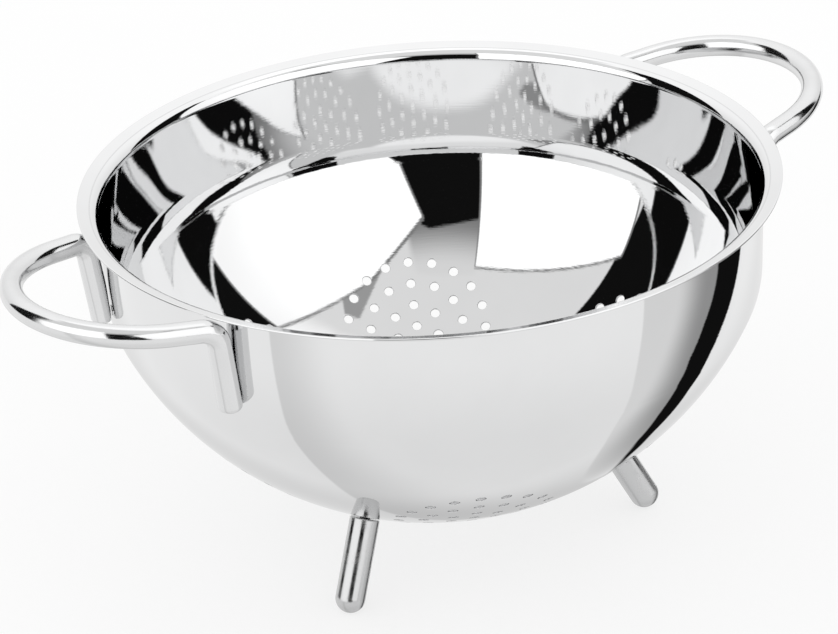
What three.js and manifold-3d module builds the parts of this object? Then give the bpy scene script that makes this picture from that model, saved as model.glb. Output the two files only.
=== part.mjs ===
// A mirror-polished steel colander: one pressed bowl with a flared rim and clusters of drain holes,
// two loop handles of bent rod welded to its sides, and three peg feet welded under it.
import * as THREE from 'three';
import { mergeVertices } from 'three/addons/utils/BufferGeometryUtils.js';
import Module from 'manifold-3d';

// Driving dimensions, in millimetres and degrees. The bowl's axis is Z, the table is z = 0,
// the handles lie along X, and a bearing is counted from +X towards +Y.

// Pressed bowl
const rimDiameter = 250;
const wallDiameter = 236.4;
const wallLean = 1.5;
const wallDrop = 35;
const shoulderRadius = 18;
const sheet = 0.8;
const bowlDepth = 121.9;
const floorClearance = 16.5;
const flangeRise = 12;
const bendRadius = 4.4;

// Drain holes: a cluster is one hole with rings of 6, 12 and 18 round it, and the bottom has a smaller one
const holeDiameter = 3.6;
const ringPitch = 9;
const sideRings = 3;
const bottomRings = 2;
const clusterDistance = 75;
const clusterBearings = [63, 119.5, 176, 244, 300, 356];

// Feet
const footDiameter = 10;
const footDistance = 58.9;
const footBearings = [87, 207, 327];
const footFlat = 0.3;
const footEdge = 0.6;

// Handles
const rodDiameter = 8;
const handleReach = 166.9;
const loopRadius = 42;
const loopRise = 6.4;
const legBearing = 20.9;
const legLean = 6.4;
const legContactDrop = 33;
const legTail = 3.2;
const legThickness = 7;
const legEndRound = 2;
const rodBend = 5.5;
const rimGap = 0.5;

// Welds: a projection on each foot and leg reaches to within the clearance of the bowl
const nibDiameter = 4;
const nibHeight = 0.4;
const clearance = 0.3;

// Facets, and the fineness of the search for the handles' height
const bowlSides = 40;
const bottomSteps = 7;
const shoulderSteps = 3;
const bendSteps = 3;
const edgeSteps = 2;
const holeSides = 6;
const footSides = 16;
const tipSteps = 5;
const rodSides = 12;
const stretchSteps = 4;
const loopStretches = 3;
const nibSides = 10;
const gapSamples = 200;
const halvings = 20;
const weldTolerance = 1e-4;

const wasm = await Module();
wasm.setup();

const rad = THREE.MathUtils.degToRad;
const up = new THREE.Vector3(0, 0, 1);
const wallRadius = wallDiameter / 2;
const rimTop = floorClearance + bowlDepth;
const flange = rad(flangeRise);

// Section of the rim, as radius and height: the sheet leaves the wall along its lean, turns outwards
// round bendCentre and ends in a half-round edge about edgeCentre.
const lean = rad(wallLean);
const edgeCentre = new THREE.Vector2(rimDiameter / 2 - sheet / 2, rimTop - sheet / 2);
const bendMiddle = bendRadius - sheet / 2;
const bendCentreRadius = wallRadius + (bendRadius - sheet) * Math.cos(lean);
const flangeLength = (edgeCentre.x - bendCentreRadius + bendMiddle * Math.sin(flange)) / Math.cos(flange);
const bendCentre = new THREE.Vector2(
  bendCentreRadius,
  edgeCentre.y - bendMiddle * Math.cos(flange) - flangeLength * Math.sin(flange),
);

// Section of the outside below the rim: a straight wall that leans a little, a tight shoulder, and
// a spherical bottom. The bottom touches the shoulder and passes through the lowest point of the bowl.
const wallNormal = new THREE.Vector2(Math.cos(lean), -Math.sin(lean));
const wallTop = bendCentre.clone().addScaledVector(wallNormal, sheet - bendRadius);
const wallFoot = wallPoint(rimTop - wallDrop);
const shoulderCentre = wallFoot.clone().addScaledVector(wallNormal, -shoulderRadius);
const shoulderHeight = shoulderCentre.y - floorClearance;
const bottomRadius = (shoulderCentre.lengthSq() - shoulderCentre.y ** 2 + shoulderHeight ** 2
  - shoulderRadius ** 2) / (2 * (shoulderHeight - shoulderRadius));
const bottomCentre = new THREE.Vector2(0, floorClearance + bottomRadius);
const meeting = Math.atan2(bottomCentre.y - shoulderCentre.y, shoulderCentre.x);

// The outside of the wall at a height.
function wallPoint(height) {
  return new THREE.Vector2(wallTop.x - (wallTop.y - height) * Math.tan(lean), height);
}

// A point of the section carried to a bearing, with the normal and the way up along the bowl.
function carried(bearing, spot, slope) {
  const out = new THREE.Vector3(Math.cos(bearing), Math.sin(bearing), 0);
  return {
    point: out.clone().multiplyScalar(spot.x).setZ(spot.y),
    normal: out.clone().multiplyScalar(slope.x).setZ(slope.y),
    uphill: out.clone().multiplyScalar(-slope.y).setZ(slope.x),
    across: new THREE.Vector3(-out.y, out.x, 0),
  };
}

function placeOnWall(bearing, height) {
  return carried(bearing, wallPoint(height), wallNormal);
}

function placeOnBottom(bearing, radius) {
  const fall = Math.sqrt(bottomRadius ** 2 - radius ** 2);
  const slope = new THREE.Vector2(radius, -fall).divideScalar(bottomRadius);
  return carried(bearing, bottomCentre.clone().addScaledVector(slope, bottomRadius), slope);
}

// A closed geometry as a solid: shared corners are merged and collapsed triangles dropped.
function toSolid(geometry) {
  const bare = geometry.clone();
  bare.deleteAttribute('normal');
  bare.deleteAttribute('uv');
  const merged = mergeVertices(bare, weldTolerance);
  const corners = merged.index.array;
  const triangles = [];
  for (let i = 0; i < corners.length; i += 3) {
    const [a, b, c] = [corners[i], corners[i + 1], corners[i + 2]];
    if (a !== b && b !== c && c !== a) triangles.push(a, b, c);
  }
  return new wasm.Manifold(new wasm.Mesh({
    numProp: 3,
    vertProperties: new Float32Array(merged.attributes.position.array),
    triVerts: new Uint32Array(triangles),
  }));
}

function toGeometry(solid) {
  const { vertProperties, triVerts } = solid.getMesh();
  const geometry = new THREE.BufferGeometry();
  geometry.setAttribute('position', new THREE.BufferAttribute(new Float32Array(vertProperties), 3));
  geometry.setIndex(new THREE.BufferAttribute(new Uint32Array(triVerts), 1));
  geometry.computeVertexNormals();
  return geometry;
}

// A turned solid about Z. The profile is a list of (radius, height) from the bottom of the axis,
// up the outside and back to the axis.
function turned(profile, sides) {
  return new THREE.LatheGeometry(profile, sides).rotateX(Math.PI / 2);
}

// A geometry that points along +Y, turned to point along a direction with its origin at a point.
function aimed(geometry, point, direction) {
  const turn = new THREE.Quaternion().setFromUnitVectors(new THREE.Vector3(0, 1, 0), direction);
  return geometry.applyQuaternion(turn).translate(point.x, point.y, point.z);
}

// A round bar of the given length that ends at a point, with its axis along a direction.
function bar(diameter, length, sides, end, direction) {
  const cylinder = new THREE.CylinderGeometry(diameter / 2, diameter / 2, length, sides);
  return aimed(cylinder.translate(0, -length / 2, 0), end, direction);
}

function arc(centre, radius, from, to, steps) {
  const points = [];
  for (let i = 0; i <= steps; i += 1) {
    const angle = from + (to - from) * i / steps;
    points.push(new THREE.Vector2(
      centre.x + radius * Math.cos(angle),
      centre.y + radius * Math.sin(angle),
    ));
  }
  return points;
}

// Bowl: the section of the sheet, turned about the axis.
function bowlProfile() {
  const pole = -Math.PI / 2;
  const outside = [
    ...arc(bottomCentre, bottomRadius, pole, -meeting, bottomSteps),
    ...arc(shoulderCentre, shoulderRadius, -meeting, -lean, shoulderSteps).slice(1),
  ];
  const inside = [
    ...arc(shoulderCentre, shoulderRadius - sheet, -lean, -meeting, shoulderSteps),
    ...arc(bottomCentre, bottomRadius - sheet, -meeting, pole, bottomSteps).slice(1),
  ];
  outside[0].x = 0;
  inside[inside.length - 1].x = 0;
  const bendStart = Math.PI - lean;
  const bendEnd = Math.PI / 2 + flange;
  const underBend = arc(bendCentre, bendRadius - sheet, bendStart, bendEnd, bendSteps);
  const edge = arc(edgeCentre, sheet / 2, flange - Math.PI / 2, flange + Math.PI / 2, edgeSteps);
  const overBend = arc(bendCentre, bendRadius, bendEnd, bendStart, bendSteps);
  return [...outside, ...underBend, ...edge, ...overBend, ...inside];
}

// One hole with rings of 6, 12, 18 round it, laid out flat on the tangent plane and then
// carried to the bottom along rays from its centre.
function clusterHoles(place, rings) {
  const centre = new THREE.Vector3(0, 0, bottomCentre.y);
  const holes = [];
  for (let ring = 0; ring <= rings; ring += 1) {
    const inRing = Math.max(1, 6 * ring);
    for (let i = 0; i < inRing; i += 1) {
      const angle = 2 * Math.PI * i / inRing;
      const ray = place.point.clone().sub(centre)
        .addScaledVector(place.uphill, ring * ringPitch * Math.cos(angle))
        .addScaledVector(place.across, ring * ringPitch * Math.sin(angle))
        .setLength(bottomRadius);
      holes.push(placeOnBottom(Math.atan2(ray.y, ray.x), Math.hypot(ray.x, ray.y)));
    }
  }
  return holes;
}

function bowl() {
  const holes = clusterBearings.flatMap(
    (bearing) => clusterHoles(placeOnBottom(rad(bearing), clusterDistance), sideRings),
  );
  holes.push(...clusterHoles(placeOnBottom(0, 0), bottomRings));
  const pressed = toSolid(turned(bowlProfile(), bowlSides));
  const pierced = holes.reduce((body, hole) => body.subtract(toSolid(punch(hole))), pressed);
  return toGeometry(pierced);
}

// The punch of one hole: a slim spike from outside the bowl, whose flats are one hole diameter
// apart where it meets the sheet. A spike's faces are single triangles, so each cuts one clean edge.
function punch(hole) {
  const acrossCorners = holeDiameter / Math.cos(Math.PI / holeSides);
  const length = wallRadius / 2;
  const overshoot = holeDiameter;
  const baseRadius = acrossCorners / 2 * length / (length - overshoot);
  const spike = new THREE.ConeGeometry(baseRadius, length, holeSides).translate(0, length / 2 - overshoot, 0);
  return aimed(spike, hole.point, hole.normal.clone().negate());
}

// Foot: a peg square to the bowl with a round tip, ground flat where it meets the table.
// It is built at bearing 0.
function foot() {
  const seat = placeOnBottom(0, footDistance);
  const radius = footDiameter / 2;
  const tipDrop = seat.point.z - (radius - footFlat);
  const tipCentre = seat.point.clone().addScaledVector(seat.normal, -tipDrop / seat.normal.z);
  const top = tipCentre.distanceTo(seat.point) - clearance - nibHeight;
  const tip = arc(new THREE.Vector2(0, 0), radius, -Math.PI / 2, 0, tipSteps);
  const profile = [
    ...tip,
    new THREE.Vector2(radius, top - footEdge),
    new THREE.Vector2(radius - footEdge, top),
    new THREE.Vector2(0, top),
  ];
  profile[0].x = 0;
  const inward = seat.normal.clone().negate();
  const turn = new THREE.Quaternion().setFromUnitVectors(up, inward);
  const peg = turned(profile, footSides).applyQuaternion(turn)
    .translate(tipCentre.x, tipCentre.y, tipCentre.z);
  const nibEnd = seat.point.clone().addScaledVector(seat.normal, clearance);
  const nib = bar(nibDiameter, nibHeight + footEdge, nibSides, nibEnd, inward);
  const table = new THREE.BoxGeometry(4 * footDiameter, 4 * footDiameter, footDiameter)
    .translate(tipCentre.x, tipCentre.y, -footDiameter / 2);
  return toGeometry(toSolid(peg).add(toSolid(nib)).subtract(toSolid(table)));
}

// A path whose stations are spread evenly over its stretches, so that a tight bend gets as many
// as a long straight.
class RodPath extends THREE.CurvePath {
  onStretch(u, method) {
    const along = u * this.curves.length;
    const stretch = Math.min(Math.floor(along), this.curves.length - 1);
    return this.curves[stretch][method](along - stretch);
  }

  getPointAt(u) {
    return this.onStretch(u, 'getPoint');
  }

  getTangentAt(u) {
    return this.onStretch(u, 'getTangent');
  }
}

// A circular arc in space, from one angle to another in the plane of two unit vectors.
class SpaceArc extends THREE.Curve {
  constructor(centre, radius, axisU, axisV, from, to) {
    super();
    Object.assign(this, { centre, radius, axisU, axisV, from, to });
  }

  getPoint(t) {
    const angle = this.from + (this.to - this.from) * t;
    return this.centre.clone()
      .addScaledVector(this.axisU, this.radius * Math.cos(angle))
      .addScaledVector(this.axisV, this.radius * Math.sin(angle));
  }
}

// The arc that rounds the corner between an incoming and an outgoing direction.
function cornerArc(corner, incoming, outgoing, radius) {
  const turning = incoming.angleTo(outgoing);
  const setback = radius * Math.tan(turning / 2);
  const start = corner.clone().addScaledVector(incoming, -setback);
  const side = outgoing.clone().addScaledVector(incoming, -outgoing.dot(incoming)).normalize();
  const centre = start.clone().addScaledVector(side, radius);
  return new SpaceArc(centre, radius, side.clone().negate(), incoming, 0, turning);
}

// One leg of a handle: where its axis runs, which way is up along it and which way its flat faces.
// It leans out from the wall, and its corner is where the rod turns outwards, at the given height.
function handleLeg(bearing, cornerHeight) {
  const seat = placeOnWall(bearing, rimTop - legContactDrop);
  const out = new THREE.Vector3(Math.cos(bearing), Math.sin(bearing), 0);
  const along = out.clone().multiplyScalar(Math.sin(rad(legLean))).setZ(Math.cos(rad(legLean)));
  const away = out.clone().multiplyScalar(Math.cos(rad(legLean))).setZ(-Math.sin(rad(legLean)));
  const axisOffset = clearance + nibHeight + legThickness - rodDiameter / 2;
  const onAxis = seat.point.clone().addScaledVector(away, axisOffset);
  const rise = (cornerHeight - onAxis.z) / along.z;
  return {
    seat,
    along,
    away,
    corner: onAxis.clone().addScaledVector(along, rise),
    end: onAxis.clone().addScaledVector(along, -legTail),
  };
}

// How far the loop's outer end lies from the line between the corners, along the loop's rise.
function loopReach(cornerX) {
  return (handleReach - rodDiameter / 2 - cornerX) / Math.cos(rad(loopRise));
}

// The rod's centre line: up one leg, round the loop and down the other leg.
function handlePath(right, left) {
  const middle = right.corner.clone().add(left.corner).multiplyScalar(0.5);
  const outward = new THREE.Vector3(Math.cos(rad(loopRise)), 0, Math.sin(rad(loopRise)));
  const sideways = new THREE.Vector3(0, 1, 0);
  const reach = loopReach(middle.x);
  const loopCentre = middle.clone().addScaledVector(outward, reach - loopRadius);
  const halfSpan = left.corner.y;
  const toCorner = Math.atan2(halfSpan, loopRadius - reach);
  const tangentSide = Math.acos(loopRadius / Math.hypot(halfSpan, reach - loopRadius));
  const quarter = toCorner - tangentSide;
  const loop = [];
  for (let i = 0; i < loopStretches; i += 1) {
    const from = quarter * (2 * i / loopStretches - 1);
    const to = quarter * (2 * (i + 1) / loopStretches - 1);
    loop.push(new SpaceArc(loopCentre, loopRadius, outward, sideways, from, to));
  }
  const loopStart = loop[0].getPoint(0);
  const loopEnd = loop[loopStretches - 1].getPoint(1);
  const armOut = loopStart.clone().sub(right.corner).normalize();
  const armIn = left.corner.clone().sub(loopEnd).normalize();
  const down = left.along.clone().negate();
  const firstBend = cornerArc(right.corner, right.along, armOut, rodBend);
  const lastBend = cornerArc(left.corner, armIn, down, rodBend);
  const path = new RodPath();
  path.add(new THREE.LineCurve3(right.end, firstBend.getPoint(0)));
  path.add(firstBend);
  path.add(new THREE.LineCurve3(firstBend.getPoint(1), loopStart));
  loop.forEach((stretch) => path.add(stretch));
  path.add(new THREE.LineCurve3(loopEnd, lastBend.getPoint(0)));
  path.add(lastBend);
  path.add(new THREE.LineCurve3(lastBend.getPoint(1), left.end));
  return path;
}

// Cutter for the flat on the bowl's side of a leg. Its face is parallel to the leg and runs on
// upwards, where the rod bends away from it.
function legFlat(leg) {
  const size = 4 * rodDiameter + legContactDrop;
  const flatOffset = clearance + nibHeight;
  const frame = new THREE.Matrix4().makeBasis(leg.seat.across, leg.along, leg.away);
  const middle = leg.seat.point.clone().addScaledVector(leg.away, flatOffset - size / 2);
  return new THREE.BoxGeometry(size, size, size)
    .applyMatrix4(frame)
    .translate(middle.x, middle.y, middle.z);
}

// Cutter that rounds the end of a leg: a ring with a hollow fillet, turned about the leg's axis.
function legEndRing(leg) {
  const radius = rodDiameter / 2;
  const centre = new THREE.Vector2(radius - legEndRound, legEndRound);
  const fillet = arc(centre, legEndRound, 0, -Math.PI / 2, tipSteps);
  const profile = [
    new THREE.Vector2(centre.x, -legEndRound),
    new THREE.Vector2(radius + legEndRound, -legEndRound),
    new THREE.Vector2(radius + legEndRound, legEndRound),
    ...fillet,
    new THREE.Vector2(centre.x, -legEndRound),
  ];
  const turn = new THREE.Quaternion().setFromUnitVectors(up, leg.along);
  return turned(profile, rodSides).applyQuaternion(turn)
    .translate(leg.end.x, leg.end.y, leg.end.z);
}

// The weld projection on a leg's flat, square to the wall.
function legNib(leg) {
  const end = leg.seat.point.clone().addScaledVector(leg.seat.normal, clearance);
  return bar(nibDiameter, nibHeight + legEndRound, nibSides, end, leg.seat.normal.clone().negate());
}

// Clear distance between a rod and the flange, which runs straight from its bend to its edge.
function gapToFlange(path) {
  const start = edgeCentre.clone()
    .addScaledVector(new THREE.Vector2(Math.cos(flange), Math.sin(flange)), -flangeLength);
  const along = edgeCentre.clone().sub(start);
  const gaps = path.getSpacedPoints(gapSamples).map((point) => {
    const spot = new THREE.Vector2(Math.hypot(point.x, point.y), point.z);
    const share = spot.clone().sub(start).dot(along) / along.lengthSq();
    const nearest = start.clone().addScaledVector(along, THREE.MathUtils.clamp(share, 0, 1));
    return spot.distanceTo(nearest) - (rodDiameter + sheet) / 2;
  });
  return Math.min(...gaps);
}

// The legs' bearing. Each corner lies so far outside the loop's circle that an arm as long as the
// rod's bend runs straight into the loop, so the legs of a wider loop stand further apart.
function legSpread(cornerHeight) {
  const room = (bearing) => {
    const { corner } = handleLeg(bearing, cornerHeight);
    const fromCentre = Math.hypot(corner.y, loopReach(corner.x) - loopRadius);
    return fromCentre - Math.hypot(loopRadius, rodBend);
  };
  let low = rad(legBearing);
  if (room(low) >= 0) return low;
  let high = Math.PI / 2;
  for (let i = 0; i < halvings; i += 1) {
    const middle = (low + high) / 2;
    if (room(middle) < 0) low = middle;
    else high = middle;
  }
  return high;
}

// A handle's two legs and its path, with the corners at a height.
function handleLayout(cornerHeight) {
  const bearing = legSpread(cornerHeight);
  const right = handleLeg(-bearing, cornerHeight);
  const left = handleLeg(bearing, cornerHeight);
  return { right, left, path: handlePath(right, left) };
}

// The corners sit as high as the flange allows, found by halving the range of heights.
function highestLayout() {
  let low = rimTop - legContactDrop;
  let high = rimTop;
  for (let i = 0; i < halvings; i += 1) {
    const middle = (low + high) / 2;
    if (gapToFlange(handleLayout(middle).path) < rimGap) high = middle;
    else low = middle;
  }
  return handleLayout(low);
}

// Handle: built on the +X side.
function handle() {
  const { right, left, path } = highestLayout();
  const section = new THREE.Shape(arc(new THREE.Vector2(0, 0), rodDiameter / 2, 0, 2 * Math.PI, rodSides));
  const rod = new THREE.ExtrudeGeometry(section, {
    steps: stretchSteps * path.curves.length,
    extrudePath: path,
    bevelEnabled: false,
  });
  const shaped = [right, left].reduce(
    (body, leg) => body.subtract(toSolid(legFlat(leg)))
      .subtract(toSolid(legEndRing(leg)))
      .add(toSolid(legNib(leg))),
    toSolid(rod),
  );
  return toGeometry(shaped);
}

function steelMesh(name, geometry, color, roughness) {
  const material = new THREE.MeshStandardMaterial({ color, roughness, metalness: 1 });
  const mesh = new THREE.Mesh(geometry, material);
  mesh.name = name;
  return mesh;
}

const colander = new THREE.Group();
colander.add(steelMesh('bowl', bowl(), 0xd6d7d9, 0.06));

const handleGeometry = handle();
['handle_right', 'handle_left'].forEach((name, i) => {
  const mesh = steelMesh(name, handleGeometry, 0xdcdcdd, 0.05);
  mesh.rotation.z = i * Math.PI;
  colander.add(mesh);
});

const footGeometry = foot();
['foot_back', 'foot_left', 'foot_right'].forEach((name, i) => {
  const mesh = steelMesh(name, footGeometry, 0xcfd0d2, 0.08);
  mesh.rotation.z = rad(footBearings[i]);
  colander.add(mesh);
});

export default colander;
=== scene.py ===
# %% [markdown]
# # A polished steel colander
# This lesson dresses a colander: one bowl pressed from thin sheet, with clusters of drain holes, two loop
# handles bent from rod, and three peg feet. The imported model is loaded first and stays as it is. It fixes
# where everything goes, and each piece made here stands in for one of its solids.

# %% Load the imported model
import math

import bpy
import numpy as np
from mathutils import Matrix
from mathutils.geometry import delaunay_2d_cdt


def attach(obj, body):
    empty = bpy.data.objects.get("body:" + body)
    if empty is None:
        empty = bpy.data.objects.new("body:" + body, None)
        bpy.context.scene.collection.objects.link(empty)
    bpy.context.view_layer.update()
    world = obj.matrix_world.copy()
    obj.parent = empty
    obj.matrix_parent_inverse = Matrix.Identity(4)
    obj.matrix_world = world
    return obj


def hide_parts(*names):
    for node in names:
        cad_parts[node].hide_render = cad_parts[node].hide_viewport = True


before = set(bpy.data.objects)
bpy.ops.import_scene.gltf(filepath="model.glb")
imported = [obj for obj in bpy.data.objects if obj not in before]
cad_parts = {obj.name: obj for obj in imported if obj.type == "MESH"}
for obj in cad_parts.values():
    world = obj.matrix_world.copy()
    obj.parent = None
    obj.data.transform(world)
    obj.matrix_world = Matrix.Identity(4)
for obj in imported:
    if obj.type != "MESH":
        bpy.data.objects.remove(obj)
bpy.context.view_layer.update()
print("solids:", sorted(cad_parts))

# %% [markdown]
# ## Lengths and a helper for every mesh
# Polished steel shows nothing of its own. It shows the room, bent by its curves, so the smallest kink in a
# surface is seen at once. A mesh of flat faces would do if it were fine enough, but there is a better way:
# each vertex also gets the exact normal of the curved surface, and the faces are shaded between these
# normals. The helper below takes points, normals and faces as whole arrays and turns every face so that its
# front agrees with the normals. Lengths are in millimetres, as on a drawing, until a mesh is made of them.

# %% Mesh helper
MILLIMETRE = 0.001
UP = np.array([0.0, 0.0, 1.0])


def unit(vectors):
    """Each vector divided by its own length."""
    return vectors / np.linalg.norm(vectors, axis=-1, keepdims=True)


def on_circle(angle):
    """Points of the unit circle at angles."""
    return np.stack([np.cos(angle), np.sin(angle)], axis=-1)


def split_quads(quads):
    """Two triangles for each row of four corners."""
    return np.concatenate([quads[:, [0, 1, 2]], quads[:, [0, 2, 3]]])


def steel_mesh(name, points, normals, triangles):
    """A smooth mesh. A triangle whose cross product runs against the sum of its corners' normals is turned,
    so that every front faces outwards."""
    a, b, c = (points[triangles[:, k]] for k in range(3))
    against = (np.cross(b - a, c - a) * normals[triangles].sum(axis=1)).sum(axis=1) < 0
    triangles = np.where(against[:, None], triangles[:, ::-1], triangles).astype(np.int32)
    mesh = bpy.data.meshes.new(name)
    mesh.vertices.add(len(points))
    mesh.vertices.foreach_set("co", (points * MILLIMETRE).astype(np.float32).ravel())
    mesh.loops.add(triangles.size)
    mesh.loops.foreach_set("vertex_index", triangles.ravel())
    mesh.polygons.add(len(triangles))
    mesh.polygons.foreach_set("loop_start", np.arange(0, triangles.size, 3, dtype=np.int32))
    mesh.polygons.foreach_set("use_smooth", np.ones(len(triangles), dtype=bool))
    mesh.update(calc_edges=True)
    mesh.validate()
    mesh.normals_split_custom_set_from_vertices(normals)
    piece = bpy.data.objects.new(name, mesh)
    bpy.context.scene.collection.objects.link(piece)
    print(f"{name}: {len(points)} vertices, {len(triangles)} triangles")
    return piece


# %% [markdown]
# ## The curve of the bowl
# The bowl is drawn in a press from a round blank. Its section has four parts: a bottom that is part of a
# ball, a shoulder, a wall that stands almost upright, and a rim that turns outwards in a bend and ends in a
# narrow flange with a rounded edge. The reflections inside break at the shoulder, so it has to be there: one
# smooth curve from rim to middle would be simpler, but couldn't show that break. Each arc runs into the next
# without a kink, so the centres of all arcs follow from the sizes.

# %% Sizes of the bowl
RIM_RADIUS = 125.0
WALL_RADIUS = 118.2
WALL_LEAN = math.radians(1.5)
WALL_DROP = 35.0
SHOULDER_RADIUS = 30.0
SHEET = 0.8
FLOOR_CLEARANCE = 16.5
RIM_TOP = 138.4
FLANGE_RISE = math.radians(16)
BEND_RADIUS = 4.4

EDGE_CENTRE = np.array([RIM_RADIUS - SHEET / 2, RIM_TOP - SHEET / 2])
BEND_MIDDLE = BEND_RADIUS - SHEET / 2
BEND_CENTRE_RADIUS = WALL_RADIUS + (BEND_RADIUS - SHEET) * math.cos(WALL_LEAN)
flange_run = EDGE_CENTRE[0] - BEND_CENTRE_RADIUS + BEND_MIDDLE * math.sin(FLANGE_RISE)
FLANGE_LENGTH = flange_run / math.cos(FLANGE_RISE)
BEND_HEIGHT = EDGE_CENTRE[1] - BEND_MIDDLE * math.cos(FLANGE_RISE) - FLANGE_LENGTH * math.sin(FLANGE_RISE)
BEND_CENTRE = np.array([BEND_CENTRE_RADIUS, BEND_HEIGHT])

WALL_NORMAL = np.array([math.cos(WALL_LEAN), -math.sin(WALL_LEAN)])
WALL_UP = np.array([math.sin(WALL_LEAN), math.cos(WALL_LEAN)])
WALL_TOP = BEND_CENTRE - (BEND_RADIUS - SHEET) * WALL_NORMAL
WALL_FOOT = WALL_TOP - (WALL_TOP[1] - RIM_TOP + WALL_DROP) / WALL_UP[1] * WALL_UP
SHOULDER_CENTRE = WALL_FOOT - SHOULDER_RADIUS * WALL_NORMAL

above_pole = SHOULDER_CENTRE[1] - FLOOR_CLEARANCE
pole_square = SHOULDER_CENTRE[0] ** 2 + above_pole ** 2 - SHOULDER_RADIUS ** 2
BOTTOM_RADIUS = pole_square / (2 * (above_pole - SHOULDER_RADIUS))
BOTTOM_CENTRE = np.array([0.0, FLOOR_CLEARANCE + BOTTOM_RADIUS])
MEETING = math.atan2(BOTTOM_CENTRE[1] - SHOULDER_CENTRE[1], SHOULDER_CENTRE[0])
BOTTOM_LENGTH = BOTTOM_RADIUS * (math.pi / 2 - MEETING)
print(f"bottom of radius {BOTTOM_RADIUS:.1f} mm, flange {FLANGE_LENGTH:.2f} mm long")


# %% Points, normals and directions on the bottom
def bottom_place(bearing, length):
    """Point, outward normal, uphill and across directions of the outside at a length along the section from
    the pole. On a ball that length is the radius times the angle, and the normal points away from the
    centre."""
    out = np.stack([np.cos(bearing), np.sin(bearing), np.zeros_like(bearing)], axis=-1)
    angle = (length / BOTTOM_RADIUS)[..., None]
    normal = np.sin(angle) * out - np.cos(angle) * UP
    uphill = np.cos(angle) * out + np.sin(angle) * UP
    across = np.stack([-out[..., 1], out[..., 0], np.zeros_like(bearing)], axis=-1)
    return BOTTOM_CENTRE[1] * UP + BOTTOM_RADIUS * normal, normal, uphill, across


def onto_bottom(points):
    """Bearing and length where rays from the ball's centre through the points meet the outside."""
    ray = points - BOTTOM_CENTRE[1] * UP
    angle = np.arctan2(np.hypot(ray[..., 0], ray[..., 1]), -ray[..., 2])
    return np.arctan2(ray[..., 1], ray[..., 0]), BOTTOM_RADIUS * angle


# %% [markdown]
# ## The drain holes
# A cluster is one hole with rings of 6, 12 and 18 round it. The rings are laid out on the flat plane that
# touches the bowl at the cluster's middle and are carried to the bowl along rays. Six clusters go round the
# side and a smaller one sits at the bottom.

# %% Lay out the holes
HOLE_RADIUS = 1.8
HOLE_EDGE = 0.22
RING_PITCH = 9.0
SIDE_RINGS = 3
BOTTOM_RINGS = 2
CLUSTER_DISTANCE = 75.0
CLUSTER_BEARINGS = np.radians([63.0, 119.5, 176.0, 244.0, 300.0, 356.0])


def ring_layout(rings):
    """Flat offsets of a cluster: ring k has six times k holes at k pitches from the middle."""
    ring = np.concatenate([[0], *[np.full(6 * k, k) for k in range(1, rings + 1)]])
    turn = np.concatenate([[0.0], *[np.arange(6 * k) / (6 * k) for k in range(1, rings + 1)]]) * 2 * np.pi
    return ring * RING_PITCH * np.cos(turn), ring * RING_PITCH * np.sin(turn)


def cluster(bearing, distance, rings):
    """Holes of one cluster as points on the tangent plane at a bearing and a distance from the axis."""
    length = BOTTOM_RADIUS * np.arcsin(distance / BOTTOM_RADIUS)
    point, _, uphill, across = bottom_place(np.array(bearing), np.array(length))
    rise, side = ring_layout(rings)
    return point + rise[:, None] * uphill + side[:, None] * across


flat_holes = [cluster(bearing, CLUSTER_DISTANCE, SIDE_RINGS) for bearing in CLUSTER_BEARINGS]
flat_holes.append(cluster(0.0, 0.0, BOTTOM_RINGS))
hole_point, hole_normal, hole_uphill, hole_across = bottom_place(*onto_bottom(np.concatenate(flat_holes)))
print(len(hole_point), "drain holes")

# %% [markdown]
# ## The pierced sheet
# Cutting 241 holes with booleans would leave ragged normals round every hole. Instead the bottom is spread
# out flat, like an orange peel pressed onto a table: distance from the middle is the length along the
# section. On that disc the hole outlines and an even lattice of points are joined into triangles, the
# triangles inside the holes are dropped, and the rest is carried back to the ball twice, for the outside and
# the inside of the sheet. Shoulder, wall and rim have no holes and are simply turned about the axis.

# %% Spread the bottom out flat
HOLE_SIDES = 16
RIM_SIDES = 360
LATTICE = 2.8


def flat_of(bearing, length):
    """Place on the spread-out disc: the length along the section from the pole, at the same bearing."""
    return length[..., None] * on_circle(bearing)


def bottom_of(flat):
    """Bearing and length of a point of the spread-out disc."""
    return np.arctan2(flat[:, 1], flat[:, 0]), np.hypot(flat[:, 0], flat[:, 1])


hole_turn = np.arange(HOLE_SIDES) / HOLE_SIDES * 2 * np.pi
hole_side = (
    np.cos(hole_turn)[None, :, None] * hole_uphill[:, None]
    + np.sin(hole_turn)[None, :, None] * hole_across[:, None]
)
mouth = hole_point[:, None] + (HOLE_RADIUS + HOLE_EDGE) * hole_side
hole_flat = flat_of(*onto_bottom(mouth)).reshape(-1, 2)

rim_turn = np.arange(RIM_SIDES) / RIM_SIDES * 2 * np.pi
rim_out = on_circle(rim_turn)
rim_flat = BOTTOM_LENGTH * rim_out

count = int(BOTTOM_LENGTH / LATTICE) + 2
column, row = np.meshgrid(np.arange(-count, count + 1), np.arange(-count, count + 1))
lattice = np.stack([
    (column + 0.5 * (row % 2)) * LATTICE,
    row * LATTICE * math.sqrt(3) / 2,
], axis=-1).reshape(-1, 2)
lattice = lattice[np.hypot(lattice[:, 0], lattice[:, 1]) < BOTTOM_LENGTH - LATTICE / 2]
lattice_point = bottom_place(*bottom_of(lattice))[0]
nearest_hole = np.linalg.norm(lattice_point[:, None] - hole_point[None], axis=-1).min(axis=1)
lattice = lattice[nearest_hole > HOLE_RADIUS + HOLE_EDGE + LATTICE / 3]
print(f"disc of radius {BOTTOM_LENGTH:.1f} mm with {len(lattice)} lattice points")

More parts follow.
